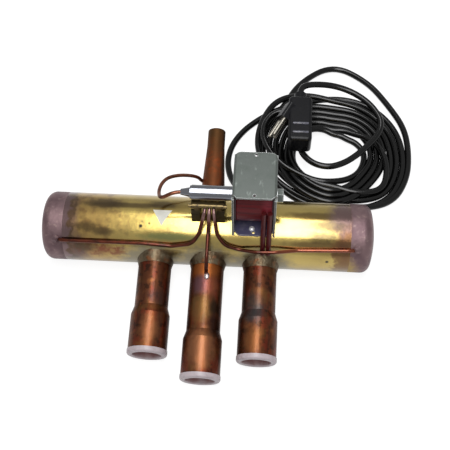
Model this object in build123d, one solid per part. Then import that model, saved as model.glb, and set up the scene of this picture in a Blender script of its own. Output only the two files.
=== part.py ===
"""Four way reversing valve with its solenoid pilot, capillaries, supply cord and dust plugs.

Millimetres, +Z up. The valve lies as it would on a table: its brass body on the table along X, the
three port tubes pointing to -Y and drooping until the longest one's dust plug touches the table.
The pieces are drawn in three frames and then stood up:
  valve frame   body axis along X through the origin, port tubes along -Y
  pilot frame   the valve frame turned about X so that +Z runs from the body axis to the pilot axis
  table frame   +Z up from the table, the body axis at the body's radius above it
"""
from build123d import *
import math
import os

# Body: a brass tube closed by two domed caps
body_od = 60.0
body_wall = 2.5
body_length = 290.0
cap_length = 22.0
cap_wall = 3.0
cap_spigot = 4.0
cap_dome_rise = 5.0
cap_corner_radius = 8.0
bead_flare = (0.5, 2.4)
bead_length = 4.4
braze_gap = 0.1

# Port tubes on the front, discharge tube at the back
port_centre_x = 2.0
port_pitch = 45.7
tube_od = 28.6
tube_wall = 1.6
tube_inner_reach = 21.0
socket_bore = 28.8
socket_wall = 2.1
socket_shoulder = 7.0
left_socket_start = 72.0
middle_socket_start = 91.0
right_socket_start = 72.5
left_reach = 109.0
middle_reach = 128.0
right_reach = 110.5
discharge_root_od = 20.6
discharge_tip_od = 16.0
discharge_wall = 1.2
discharge_inner_reach = 24.0
discharge_taper_start = 44.0
discharge_stub_start = 84.0
discharge_reach = 100.0
braze_collar = 3.2
braze_height = 4.5

# Dust plugs pushed into the three sockets
plug_rim_od = 34.0
plug_rim_length = 4.6
plug_rim_round = 1.3
plug_spigot_length = 15.0
plug_spigot_gap = 0.1
plug_mouth_od = 24.5
plug_recess_od = 21.5
plug_recess_depth = 12.0

# Port seat inside the body and the slide that runs on it
seat_face_offset = 16.0
seat_end_margin = 15.2
seat_port_bore = 22.0
slide_height = 13.0
slide_wall = 5.0
slide_half_width = 16.0
slide_crown = 3.0
face_gap = 0.02
carrier_offset = 8.0
carrier_thickness = 1.6
carrier_half_width = 21.0
carrier_window_gap = 0.3
carrier_tab_height = 14.0
piston_end_play = 0.75
piston_thickness = 4.0
piston_gap = 0.5
seal_thickness = 3.0
seal_gap = 0.08
retainer_thickness = 2.0
retainer_od = 44.0
piston_screw_od = 5.0
piston_screw_head_od = 9.0
piston_screw_head = 2.6

# Pilot valve: its tube lies along the body, on the pilot frame's +Z
pilot_lean = 12.5
pilot_stand_off = 27.0
pilot_od = 12.7
pilot_wall = 0.7
pilot_left = -11.8
pilot_right = 46.0
pilot_stub_length = 9.0
pilot_stub_tip_od = 5.0
pilot_seat_size = (15.0, 8.0)
pilot_seat_centre_x = 3.4
pilot_seat_top = 2.6
pilot_seat_bottom = 13.5
core_face_x = 36.0
plunger_length = 22.0
plunger_stroke = 2.5
plunger_fit = 0.08
spindle_od = 3.0
spindle_length = 13.0
pilot_slide_size = (7.0, 5.0, 3.0)
spring_wire = 0.45
spring_od = 5.6
spring_pocket_gap = 0.5
spring_turns = 7
spring_pocket_depth = 6.0

# Stamped bracket between the pilot and the body
bracket_left = -12.0
bracket_right = 16.0
bracket_sheet = 1.4
bracket_half_depth = 9.4
bracket_leg_width = 7.0
bracket_corner_cut = 2.6
bracket_ear_od = 3.4
bracket_ear_length = 3.4
bracket_ear_inset = 1.2
bracket_web_round = 2.2
bracket_web_drop = 1.2
bracket_foot_overlap = 6.0
bracket_notch = (3.0, 4.2)

# Solenoid: yoke, coil and its screw
yoke_left = 22.8
yoke_right = 58.4
yoke_half_height = 26.3
yoke_half_depth = 23.6
yoke_sheet = 1.6
yoke_corner_round = 6.0
yoke_corner_cut = 4.0
yoke_hole_od = 2.6
yoke_hole_inset = 3.0
coil_bore_gap = 0.3
bobbin_wall = 1.3
bobbin_flange = 1.5
bobbin_od = 44.0
winding_od = 43.0
screw_af = 11.0
screw_head = 5.0
screw_od = 5.0
screw_length = 14.0
washer_od = 12.6
washer_thickness = 0.8
lead_od = 4.2
lead_spacing = 4.9
lead_centre_x = 51.2

# Capillary tubes
capillary_od = 3.2
capillary_wall = 0.7
capillary_lift = 0.3
capillary_bend = 14.0
mouth_pitch = 3.5
mouth_depth = 1.6
mouth_drop = 10.6
mouth_reach = 11.5
mouth_flare = 0.3
left_stations = (-5.0, -11.0, -28.0, -53.0)
left_angles = (65.0, 49.0, 43.4, 45.6)
left_lifts = (2.6, 1.2, 0.3, 0.0)
right_stations = (10.0, 17.0, 29.0, 44.0, 60.0, 78.0)
right_angles = (65.0, 49.0, 43.0, 43.5, 44.5, 45.0)
right_lifts = (2.6, 1.4, 0.8, 4.9, 4.9, 0.0)
cap_entry_angles = (45.0, 48.5)
cap_entry_run = (3.0, 11.0)
cap_entry_depth = 9.5
middle_mouth_reach = 12.5
middle_knee = (-0.6, 18.5, -26.0)
middle_clearance = (5.5, 12.0, 13.5)
middle_rise = (-3.0, 5.0, -2.4)
middle_aside = (0.4, 0.2, 0.0)
supply_loop_x = (-26.0, -35.5, -38.5, -34.5, -26.5)
supply_loop_forward = (0.0, -1.5, -10.0, -23.5, -33.5)
supply_loop_up = (0.0, -7.0, -16.0, -27.0, -38.0)
supply_entry_y = 48.5
supply_entry_run = 19.0
supply_entry_rise = 1.5
supply_entry_depth = 2.6

# Triangular sticker
label_width = 16.4
label_height = 14.0
label_thickness = 0.25
label_x = -37.8
label_lean = -1.5

# Supply cord, its loose coil on the table behind the valve, and the plug lying on the coil
cord_od = 6.0
sleeve_od = 9.4
sleeve_length = 12.0
sleeve_slant = 20.0
sleeve_x = 40.0
cord_lead_drop = 16.0
cord_lead_points = (
    (37.5, 41.0, 38.5),
    (31.5, 48.5, 21.0),
    (23.0, 59.5, 8.5),
    (16.0, 74.5, 3.8),
    (13.2, 91.0, 3.3),
    (17.0, 108.0, 3.2),
    (27.5, 123.5, 3.3),
    (43.5, 136.5, 4.0),
)
cord_tail_steps = (
    (0.0, 11.2, 0.0),
    (5.6, 20.7, -0.5),
    (15.1, 26.2, -1.4),
    (26.2, 26.4, -2.6),
    (38.0, 21.0, -4.0),
    (50.0, 11.5, -5.4),
    (60.0, -1.5, -6.8),
    (66.5, -16.0, -8.2),
)
coil_centre = (114.0, 122.0)
coil_half_size = (74.0, 84.0)
coil_height = 23.0
coil_edge_round = 9.0
coil_eye_centre = (113.0, 93.0)
coil_eye_half_size = (29.0, 20.0)
coil_loop_width = 8.0
coil_inner_centre = (105.0, 115.0)
coil_inner_half_size = (62.0, 67.0)
coil_gap_corner = (80.0, 152.0)
plug_head_size = (22.0, 50.0, 20.0)
plug_head_centre = (79.0, 118.0)
plug_head_round = 4.0
plug_collar_od = 12.0
plug_collar_length = 8.0
plug_face_offset = (15.1, 2.7)
plug_face_turn = 30.0
plug_face_dip = 10.0
plug_face_roll = 62.0
plug_boss_size = (17.0, 13.0, 16.0)
plug_pin_length = 20.0
plug_pin_od = 3.6
plug_pin_spacing = 5.6
plug_pin_aside = 1.6

body_radius = body_od / 2
pilot_offset = body_radius + pilot_stand_off
bore_radius = body_radius - body_wall
tube_radius = tube_od / 2
socket_radius = socket_bore / 2 + socket_wall
port_xs = {
    "left": port_centre_x - port_pitch,
    "middle": port_centre_x,
    "right": port_centre_x + port_pitch,
}
port_ends = {
    "left": (left_socket_start, left_reach),
    "middle": (middle_socket_start, middle_reach),
    "right": (right_socket_start, right_reach),
}
body_tube_half = body_length / 2 - cap_length
slide_rest_x = port_centre_x - port_pitch / 2
slide_far_x = port_centre_x + port_pitch / 2
piston_half_span = body_tube_half - cap_spigot - piston_end_play - slide_far_x
piston_half_span -= piston_thickness / 2 + seal_thickness + retainer_thickness
winding_radius = winding_od / 2
capillary_track = body_radius + capillary_od / 2 + capillary_lift


def droop_angle():
    """Angle that lets the body and the longest tube's dust plug both touch the table."""
    reach = middle_reach + plug_rim_length
    rim = plug_rim_od / 2
    return math.degrees(math.asin(body_radius / math.hypot(reach, rim)) - math.atan2(rim, reach))


droop = droop_angle()
valve_to_table = Pos(0, 0, body_radius) * Rot(droop, 0, 0)
pilot_to_valve = Rot(-pilot_lean, 0, 0)
pilot_axis = Pos(0, 0, pilot_offset)
along_x = Rot(0, 90, 0)
to_front = Rot(90, 0, 0)
to_back = Rot(-90, 0, 0)


def rod(radius, start, end):
    """Round bar along X between two stations."""
    return Pos((start + end) / 2, 0, 0) * along_x * Cylinder(radius, end - start)


def from_base(shape):
    """Shape drawn upward from Z = 0."""
    return Pos(0, 0, -shape.bounding_box().min.Z) * shape


def on_body(x, angle, radius):
    """Point in the valve frame at an angle about the body axis, from the port tubes upward."""
    turn = math.radians(angle)
    return Vector(x, -radius * math.cos(turn), radius * math.sin(turn))


def by_pilot(x, forward, up):
    """Point in the valve frame given in the pilot frame, forward being towards the port tubes."""
    lean = math.radians(pilot_lean)
    y = -forward * math.cos(lean) + up * math.sin(lean)
    z = forward * math.sin(lean) + up * math.cos(lean)
    return Vector(x, y, z)


def bend_radii(route, largest):
    """Radius at each inner point of a route: 0.45 of the shorter run over the tangent of half the turn."""
    radii = []
    for before, at, after in zip(route, route[1:], route[2:]):
        half_turn = math.radians((at - before).get_angle(after - at)) / 2
        shorter = min((at - before).length, (after - at).length)
        radii.append(min(0.45 * shorter / math.tan(half_turn), largest))
    return radii


def follow(route, section, largest=math.inf):
    """Sweep a section along straight runs joined by tangent arcs."""
    path = FilletPolyline(*route, radius=bend_radii(route, largest))
    return sweep(Plane(path @ 0, z_dir=path % 0) * section, path)


# Body


def make_main_tube():
    tube = rod(body_radius, -body_tube_half, body_tube_half)
    tube -= rod(bore_radius, -body_tube_half - 1, body_tube_half + 1)
    for x in port_xs.values():
        tube -= Pos(x, 0, 0) * to_front * from_base(Cylinder(tube_radius + braze_gap, body_od))
    discharge_hole = Cylinder(discharge_root_od / 2 + braze_gap, body_od)
    tube -= Pos(port_centre_x, 0, 0) * to_back * from_base(discharge_hole)
    return tube


def domed_bar(radius, end, rise, corner):
    """Round bar along +X from 0 with a shallow domed, rounded end."""
    dome_radius = (radius**2 + rise**2) / (2 * rise)
    bar = rod(radius, 0, end) & Pos(end - dome_radius, 0, 0) * Sphere(dome_radius)
    rim = bar.edges().filter_by_position(Axis.X, end - rise - 0.01, end - rise + 0.01)
    return fillet(rim, corner)


def make_end_cap(side, route):
    """Domed cap with a spigot in the body's bore, and a beaded hole where its capillary enters."""
    cap = domed_bar(body_radius, cap_length, cap_dome_rise, cap_corner_radius)
    cap += rod(bore_radius - braze_gap, -cap_spigot, 0)
    hollow = domed_bar(
        bore_radius - cap_wall, cap_length - cap_wall, cap_dome_rise, cap_corner_radius - cap_wall
    )
    cap -= hollow + rod(bore_radius - cap_wall, -cap_spigot - 1, 0)
    cap = Rot(0, 0, 90 - 90 * side) * Pos(body_tube_half, 0, 0) * cap
    start, end = route[-2:]
    aim = (end - start).normalized()
    bead_radius = capillary_od / 2 + braze_gap
    bead = Cone(bead_radius + bead_flare[0], bead_radius + bead_flare[1], bead_length)
    bead = Plane(start + aim * bead_length / 2, z_dir=aim) * bead
    bead -= rod(body_radius - cap_wall / 2, -body_length, body_length)
    bead -= rod(body_radius + capillary_od, -body_tube_half, body_tube_half)
    return cap + bead - follow(route[-3:], Circle(capillary_od / 2 + braze_gap), capillary_bend)


def make_port_seat():
    half = port_pitch + seat_end_margin
    seat = rod(bore_radius - braze_gap, port_centre_x - half, port_centre_x + half)
    below = Box(body_length, seat_face_offset * 2, body_od)
    seat -= below
    seat -= Pos(0, body_radius, 0) * Box(body_length, body_od, body_od)
    for x in port_xs.values():
        seat -= Pos(x, 0, 0) * to_front * from_base(Cylinder(seat_port_bore / 2, body_od))
        pocket = Pos(0, 0, tube_inner_reach) * from_base(Cylinder(tube_radius + braze_gap, body_od))
        seat -= Pos(x, 0, 0) * to_front * pocket
    return seat


def socket_profile(inner, start, reach, tube_r, socket_r):
    """Stepped round bar along +Z: tube, conical shoulder, socket."""
    bar = Pos(0, 0, inner) * from_base(Cylinder(tube_r, start - inner))
    bar += Pos(0, 0, start) * from_base(Cone(tube_r, socket_r, socket_shoulder))
    bar += Pos(0, 0, start + socket_shoulder) * from_base(Cylinder(socket_r, reach - start - socket_shoulder))
    return bar


def make_port_tube(side):
    start, reach = port_ends[side]
    tube = socket_profile(tube_inner_reach, start, reach, tube_radius, socket_radius)
    bore = socket_profile(tube_inner_reach - 1, start, reach + 1, tube_radius - tube_wall, socket_bore / 2)
    return Pos(port_xs[side], 0, 0) * to_front * (tube - bore)


def make_dust_plug(side):
    """Hollow plastic plug: a spigot in the socket and a rounded rim against the tube's end."""
    reach = port_ends[side][1]
    rim = from_base(Cylinder(plug_rim_od / 2, plug_rim_length))
    rim = fillet(rim.edges().group_by(Axis.Z)[-1], plug_rim_round * 1.6)
    spigot = Cylinder(socket_bore / 2 - plug_spigot_gap, plug_spigot_length)
    plug = rim + Pos(0, 0, -plug_spigot_length / 2) * spigot
    mouth = Cone(plug_recess_od / 2, plug_mouth_od / 2, plug_recess_depth)
    plug -= Pos(0, 0, plug_rim_length - plug_recess_depth / 2) * mouth
    inner_edge = plug.edges().filter_by(GeomType.CIRCLE).group_by(Axis.Z)[-1]
    plug = fillet(inner_edge.sort_by(SortBy.RADIUS)[0], plug_rim_round)
    return Pos(port_xs[side], 0, 0) * to_front * Pos(0, 0, reach) * plug


def taper_bar(root_radius, tip_radius, inner, reach):
    bar = Pos(0, 0, inner) * from_base(Cylinder(root_radius, discharge_taper_start - inner))
    length = discharge_stub_start - discharge_taper_start
    bar += Pos(0, 0, discharge_taper_start) * from_base(Cone(root_radius, tip_radius, length))
    bar += Pos(0, 0, discharge_stub_start) * from_base(Cylinder(tip_radius, reach - discharge_stub_start))
    return bar


def make_discharge_tube(capillary_leg):
    """Tapered copper tube, with a side hole for the pilot's supply capillary."""
    root = discharge_root_od / 2
    tip = discharge_tip_od / 2
    tube = taper_bar(root, tip, discharge_inner_reach, discharge_reach)
    tube -= taper_bar(
        root - discharge_wall, tip - discharge_wall, discharge_inner_reach - 1, discharge_reach + 1
    )
    tube = Pos(port_centre_x, 0, 0) * to_back * tube
    return tube - drilled(capillary_leg)


def drilled(leg):
    """Clearance hole for a capillary whose last run is given."""
    start, end = leg
    aim = (end - start).normalized()
    drill = Cylinder(capillary_od / 2 + braze_gap, (end - start).length + 2 * capillary_wall)
    return Plane(start, z_dir=aim) * from_base(drill)


def braze_collar_at(x, radius, turn):
    """Collar of filler metal where a tube enters the body."""
    foot = Cone(radius + braze_collar, radius + 0.4, braze_height + 6)
    collar = Pos(0, 0, body_radius + braze_height) * Pos(0, 0, -(braze_height + 6) / 2) * foot
    collar -= from_base(Cylinder(radius + face_gap, body_od))
    collar = Pos(x, 0, 0) * turn * collar
    return collar - rod(body_radius + face_gap, -body_length, body_length)


def make_braze_fillets():
    collars = [braze_collar_at(x, tube_radius, to_front) for x in port_xs.values()]
    collars.append(braze_collar_at(port_centre_x, discharge_root_od / 2, to_back))
    return Compound(collars)


# Slide assembly inside the body


def make_slide_block():
    """Cup that bridges the middle port and one side port on the seat's face."""
    half_length = (port_pitch + seat_port_bore) / 2 + slide_wall
    face = -(seat_face_offset - face_gap)
    outer = Box(2 * half_length, slide_height, 2 * slide_half_width)
    outer = fillet(outer.edges().filter_by(Axis.Y), 10.0)
    cup_depth = slide_height - slide_crown
    cup = Box(2 * (half_length - slide_wall), cup_depth, 2 * (slide_half_width - slide_wall))
    cup = fillet(cup.edges().filter_by(Axis.Y), 8.0)
    block = outer - Pos(0, -slide_crown / 2, 0) * cup
    return Pos(slide_rest_x, face + slide_height / 2, 0) * block


def make_slide_carrier():
    """Flat strip with a window for the slide block and an upturned tab at each piston."""
    half_length = (port_pitch + seat_port_bore) / 2 + slide_wall + carrier_window_gap
    half_span = piston_half_span - piston_thickness / 2
    strip = Box(2 * half_span, carrier_thickness, 2 * carrier_half_width)
    strip -= Box(2 * half_length, carrier_thickness + 1, 2 * (slide_half_width + carrier_window_gap))
    strip = Pos(0, -carrier_offset, 0) * strip
    tab = Box(carrier_thickness, carrier_tab_height, 2 * carrier_half_width)
    for side in (-1, 1):
        x = side * (half_span - carrier_thickness / 2)
        strip += Pos(x, -carrier_offset + carrier_tab_height / 2, 0) * tab
    strip -= rod(piston_screw_od / 2 + braze_gap, -half_span - 1, half_span + 1)
    return Pos(slide_rest_x, 0, 0) * strip


def piston_stations(side):
    """X of the piston's inner face, piston outer face, seal outer face and retainer outer face."""
    inner = slide_rest_x + side * (piston_half_span - piston_thickness / 2)
    outer = inner + side * piston_thickness
    seal = outer + side * seal_thickness
    return inner, outer, seal, seal + side * retainer_thickness


def span(radius, one, other):
    return rod(radius, min(one, other), max(one, other))


def screw_hole(side):
    inner, _, _, retainer = piston_stations(side)
    return span(piston_screw_od / 2 + braze_gap, inner - side, retainer + side)


def make_piston(side):
    inner, outer, _, _ = piston_stations(side)
    return span(bore_radius - piston_gap, inner, outer) - screw_hole(side)


def make_piston_seals():
    """Cup seals: a thin disc with a lip turned towards the cap."""
    seals = []
    for side in (-1, 1):
        _, outer, seal, retainer = piston_stations(side)
        cup = span(bore_radius - seal_gap, outer, retainer)
        cup -= span(retainer_od / 2 + braze_gap, seal, retainer + side)
        seals.append(cup - screw_hole(side))
    return Compound(seals)


def make_seal_retainers():
    retainers = []
    for side in (-1, 1):
        _, _, seal, retainer = piston_stations(side)
        retainers.append(span(retainer_od / 2, seal, retainer) - screw_hole(side))
    return Compound(retainers)


def make_piston_screws():
    """Headed screws through retainer, seal, piston and carrier tab."""
    screws = []
    for side in (-1, 1):
        inner, _, _, retainer = piston_stations(side)
        tip = inner - side * (carrier_thickness + 3.0)
        screw = span(piston_screw_od / 2, tip, retainer)
        screws.append(screw + span(piston_screw_head_od / 2, retainer, retainer + side * piston_screw_head))
    return Compound(screws)


# Pilot valve


def make_pilot_tube():
    radius = pilot_od / 2
    tube = rod(radius, pilot_left, pilot_right) - rod(radius - pilot_wall, pilot_left - 1, pilot_right + 1)
    slot = pilot_seat_block(braze_gap, pilot_od)
    return pilot_to_valve * (pilot_axis * (tube - slot))


def pilot_seat_block(growth, depth):
    """The seat's rectangular block below the pilot axis, grown on its sides."""
    length, width = pilot_seat_size
    block = Box(length + 2 * growth, width + 2 * growth, depth)
    return Pos(pilot_seat_centre_x, 0, -pilot_seat_top - depth / 2) * block


def make_pilot_seat(capillary_legs):
    """Brass seat block with a flat face inside the tube and sockets for three capillaries."""
    seat = pilot_to_valve * (pilot_axis * pilot_seat_block(0, pilot_seat_bottom - pilot_seat_top))
    for leg in capillary_legs:
        seat -= drilled(leg)
    return seat


def make_pilot_end_stub():
    """Turned plug in the tube's left end, with a tapered nose around the supply capillary."""
    radius = pilot_od / 2 - pilot_wall - braze_gap
    stub = rod(radius, pilot_left, pilot_left + 7)
    stub += rod(pilot_od / 2 - 0.6, pilot_left - 1.2, pilot_left)
    nose = Cone(pilot_stub_tip_od / 2, pilot_od / 2 - 2.2, pilot_stub_length - 1.2)
    stub += Pos(pilot_left - (pilot_stub_length + 1.2) / 2, 0, 0) * along_x * nose
    stub -= rod(capillary_od / 2 + braze_gap, pilot_left - pilot_stub_length - 1, pilot_left + 4)
    stub -= rod(capillary_od / 2 - capillary_wall, pilot_left, pilot_left + 8)
    return pilot_to_valve * (pilot_axis * stub)


def make_fixed_core():
    """Core brazed in the coil end of the tube, tapped for the coil screw."""
    inner = pilot_od / 2 - pilot_wall - braze_gap / 2
    core = rod(inner, core_face_x, pilot_right) + rod(pilot_od / 2, pilot_right, yoke_right - yoke_sheet)
    core -= rod(screw_od / 2 + face_gap, yoke_right - screw_length, yoke_right)
    pocket = rod(spring_od / 2 + spring_pocket_gap, core_face_x - 1, core_face_x + spring_pocket_depth / 2)
    return pilot_to_valve * (pilot_axis * (core - pocket))


def plunger_span():
    end = core_face_x - plunger_stroke - 0.3
    return end - plunger_length, end


def make_plunger():
    start, end = plunger_span()
    plunger = rod(pilot_od / 2 - pilot_wall - plunger_fit, start, end)
    plunger -= rod(spring_od / 2 + spring_pocket_gap, end - spring_pocket_depth, end + 1)
    plunger -= rod(spindle_od / 2 + braze_gap, start - 1, start + 4)
    return pilot_to_valve * (pilot_axis * plunger)


def make_plunger_spring():
    """Round-wire return spring between the plunger's pocket and the core's pocket."""
    start = plunger_span()[1] - spring_pocket_depth + spring_wire / 2 + face_gap
    end = core_face_x + spring_pocket_depth / 2 - spring_wire / 2 - face_gap
    coil_radius = (spring_od - spring_wire) / 2
    helix = Helix(pitch=(end - start) / spring_turns, height=end - start, radius=coil_radius)
    wire = sweep(Plane(helix @ 0, z_dir=helix % 0) * Circle(spring_wire / 2), helix, is_frenet=True)
    return pilot_to_valve * (pilot_axis * (Pos(start, 0, 0) * along_x * wire))


def make_pilot_spindle():
    start = plunger_span()[0]
    spindle = rod(spindle_od / 2, start - spindle_length, start + 4)
    return pilot_to_valve * (pilot_axis * spindle)


def make_pilot_slide():
    """Small shoe that the spindle pushes along the pilot seat's flat face."""
    length, width, height = pilot_slide_size
    shoe = Box(length, width, height)
    shoe = Pos(pilot_seat_centre_x, 0, -pilot_seat_top + face_gap + height / 2) * shoe
    shoe -= rod(spindle_od / 2 + face_gap, pilot_left, pilot_right)
    port = Box(length - 3, width - 2.4, 1.4)
    shoe -= Pos(pilot_seat_centre_x, 0, -pilot_seat_top + face_gap + 0.3) * port
    return pilot_to_valve * (pilot_axis * shoe)


def make_pilot_bracket():
    """Stamped saddle: a web under the pilot tube and four legs down to the body."""
    length = bracket_right - bracket_left
    middle_x = (bracket_left + bracket_right) / 2
    web_top = pilot_offset - pilot_od / 2 - face_gap
    height = web_top - body_radius + bracket_foot_overlap
    shell = Box(length, 2 * bracket_half_depth, height)
    shell = fillet(shell.edges().filter_by(Axis.X).group_by(Axis.Z)[-1], bracket_web_round)
    hollow = Box(length + 2, 2 * (bracket_half_depth - bracket_sheet), height)
    shell -= Pos(0, 0, -bracket_sheet) * hollow
    opening = Box(length - 2 * bracket_leg_width, 3 * bracket_half_depth, height)
    shell -= Pos(0, 0, -bracket_sheet - bracket_web_drop) * opening
    notch_height, notch_drop = bracket_notch
    corner = Box(2 * bracket_corner_cut, 3 * bracket_half_depth, notch_height)
    for side in (-1, 1):
        shell -= Pos(side * length / 2, 0, height / 2 - notch_drop) * corner
    bracket = Pos(middle_x, 0, web_top - height / 2) * shell
    ear = Cylinder(bracket_ear_od / 2, bracket_ear_length)
    for side, x in ((-1, bracket_left), (1, bracket_right)):
        ear_x = x + side * (bracket_ear_length / 2 - bracket_sheet)
        bracket += Pos(ear_x, bracket_ear_inset - bracket_half_depth, web_top - bracket_sheet) * along_x * ear
    bracket -= pilot_axis * pilot_seat_block(braze_gap, pilot_seat_bottom)
    bracket -= pilot_axis * rod(pilot_od / 2 + face_gap, bracket_left - 5, bracket_right + 5)
    bracket -= rod(body_radius + face_gap, -body_length, body_length)
    return pilot_to_valve * bracket


# Solenoid


def make_coil_yoke():
    """Folded steel strap: top plate and two legs, drilled for the pilot tube and the screw."""
    length = yoke_right - yoke_left
    middle_x = (yoke_left + yoke_right) / 2
    height = 2 * yoke_half_height
    strap = Box(length, 2 * yoke_half_depth, height)
    strap = fillet(strap.edges().filter_by(Axis.Y).group_by(Axis.Z)[-1], yoke_sheet * 1.5)
    inner = Box(length - 2 * yoke_sheet, 3 * yoke_half_depth, height)
    inner = Pos(0, 0, -yoke_sheet) * inner
    inner = fillet(inner.edges().filter_by(Axis.Y).group_by(Axis.Z)[-1], yoke_sheet * 0.5)
    strap -= inner
    strap = Pos(middle_x, 0, 0) * strap
    strap = shape_yoke_corners(strap, middle_x)
    for side in (-1, 1):
        y = side * (yoke_half_depth - yoke_hole_inset)
        strap -= Pos(middle_x, y, yoke_half_height) * Cylinder(yoke_hole_od / 2, 4 * yoke_sheet)
    strap -= rod(pilot_od / 2 + face_gap, yoke_left - 1, yoke_left + yoke_sheet + 1)
    strap -= rod(screw_od / 2 + coil_bore_gap, yoke_right - yoke_sheet - 1, yoke_right + 1)
    return pilot_to_valve * (pilot_axis * strap)


def shape_yoke_corners(strap, middle_x):
    """Round the top plate's rear corners and cut its front ones at a slant."""
    length = yoke_right - yoke_left
    plan = Rectangle(length, 2 * yoke_half_depth)
    rear = plan.vertices().group_by(Axis.Y)[-1]
    plan = fillet(rear, yoke_corner_round)
    front = plan.vertices().group_by(Axis.Y)[0]
    plan = chamfer(front, yoke_corner_cut)
    top = Pos(middle_x, 0, yoke_half_height - 2 * yoke_sheet) * extrude(plan, 4 * yoke_sheet)
    keep = Pos(middle_x, 0, -2 * yoke_sheet) * Box(length + 2, 3 * yoke_half_depth, 2 * yoke_half_height)
    return strap & (keep + top)


def make_yoke_base_plate():
    """Plate let in between the yoke's legs below the coil, with cut corners and a rivet hole."""
    length = yoke_right - yoke_left - 2 * yoke_sheet
    plan = Rectangle(length, 2 * yoke_half_depth)
    plan = chamfer(plan.vertices(), yoke_corner_cut)
    plate = Pos(0, 0, -yoke_half_height) * extrude(plan, yoke_sheet)
    for side in (-1, 1):
        y = side * (yoke_half_depth - yoke_hole_inset)
        plate -= Pos(0, y, -yoke_half_height) * Cylinder(yoke_hole_od / 2, 4 * yoke_sheet)
    return pilot_to_valve * (pilot_axis * Pos((yoke_left + yoke_right) / 2, 0, 0) * plate)


def bobbin_stations():
    return yoke_left + yoke_sheet, yoke_right - yoke_sheet


def make_coil_bobbin():
    start, end = bobbin_stations()
    bore = pilot_od / 2 + coil_bore_gap
    bobbin = rod(bore + bobbin_wall, start, end)
    bobbin += rod(bobbin_od / 2, start, start + bobbin_flange)
    bobbin += rod(bobbin_od / 2, end - bobbin_flange, end)
    bobbin -= rod(bore, start - 1, end + 1)
    return pilot_to_valve * (pilot_axis * bobbin)


def make_coil_winding():
    start, end = bobbin_stations()
    inner = pilot_od / 2 + coil_bore_gap + bobbin_wall + face_gap
    winding = rod(winding_radius, start + bobbin_flange, end - bobbin_flange)
    winding = fillet(winding.edges().filter_by(GeomType.CIRCLE), 1.0)
    winding -= rod(inner, start, end)
    return pilot_to_valve * (pilot_axis * winding)


def make_coil_screw():
    head = RegularPolygon(screw_af / 2, 6, major_radius=False)
    face = yoke_right + washer_thickness
    screw = Plane(origin=(face, 0, 0), x_dir=(0, 1, 0), z_dir=(1, 0, 0)) * extrude(head, screw_head)
    screw = chamfer(screw.edges().group_by(Axis.X)[-1], 0.5)
    screw += rod(screw_od / 2, yoke_right - screw_length + 1, face)
    return pilot_to_valve * (pilot_axis * screw)


def make_screw_washer():
    washer = rod(washer_od / 2, yoke_right, yoke_right + washer_thickness)
    washer -= rod(screw_od / 2 + coil_bore_gap, yoke_right - 1, yoke_right + washer_thickness + 1)
    return pilot_to_valve * (pilot_axis * washer)


def make_coil_leads():
    """Two sleeved leads from the front of the winding down over the body."""
    stand_off = winding_radius + lead_od / 2 + face_gap
    track = body_radius + lead_od / 2 + capillary_lift
    leads = []
    for side in (-1, 1):
        x = lead_centre_x + side * lead_spacing / 2
        route = [
            by_pilot(x, stand_off, pilot_offset + 7),
            by_pilot(x, stand_off + 0.6, pilot_offset - 9),
            by_pilot(x, stand_off + 3.2, pilot_offset - 26),
            on_body(x, 47, track + 0.6),
            on_body(x, 37, track + 0.2),
        ]
        leads.append(follow(route, Circle(lead_od / 2), 18))
    return Compound(leads)


# Capillaries


def cap_entry(side):
    """Last two points of an outer capillary: along the body past its end, and into the cap."""
    angle = cap_entry_angles[side > 0]
    near, far = cap_entry_run
    return [
        on_body(side * (body_tube_half + near), angle, capillary_track),
        on_body(side * (body_tube_half + far), angle, capillary_track - cap_entry_depth),
    ]


def outer_route(side, stations, angles, lifts):
    """From the pilot seat's side mouth, over the body to an end cap."""
    x = pilot_seat_centre_x + side * mouth_pitch
    up = pilot_offset - mouth_drop
    route = [by_pilot(x, mouth_depth, up), by_pilot(x + side * mouth_flare, mouth_reach, up)]
    for station, angle, lift in zip(stations, angles, lifts):
        route.append(on_body(station, angle, capillary_track + lift))
    return route + cap_entry(side)


def middle_route():
    """From the seat's middle mouth down in front of the body and into the middle port tube."""
    up = pilot_offset - mouth_drop
    aside, forward, rise = middle_knee
    route = [
        by_pilot(pilot_seat_centre_x, mouth_depth, up),
        by_pilot(pilot_seat_centre_x, middle_mouth_reach, up),
        by_pilot(pilot_seat_centre_x + aside, forward, pilot_offset + rise),
    ]
    heights = (body_radius, tube_radius, tube_radius)
    for height, out, rise, aside in zip(heights, middle_clearance, middle_rise, middle_aside):
        route.append(Vector(port_centre_x + aside, -body_radius - out, height + rise))
    return route


def supply_route():
    """From the pilot tube's left end round behind the body and into the discharge tube's side."""
    route = [by_pilot(pilot_left - 1.0, 0, pilot_offset)]
    for x, forward, up in zip(supply_loop_x, supply_loop_forward, supply_loop_up):
        route.append(by_pilot(x, forward, pilot_offset + up))
    route.append(Vector(port_centre_x - supply_entry_run, supply_entry_y, supply_entry_rise))
    wall_x = port_centre_x - discharge_root_od / 2
    route.append(Vector(wall_x + supply_entry_depth, supply_entry_y, 0))
    return route


def capillary_routes():
    """Hand-set routes in the valve frame, each ending inside the piece that it enters."""
    return {
        "left": outer_route(-1, left_stations, left_angles, left_lifts),
        "right": outer_route(1, right_stations, right_angles, right_lifts),
        "middle": middle_route(),
        "discharge": supply_route(),
    }


def make_capillary(route):
    section = Circle(capillary_od / 2) - Circle(capillary_od / 2 - capillary_wall)
    return follow(route, section, capillary_bend)


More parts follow.
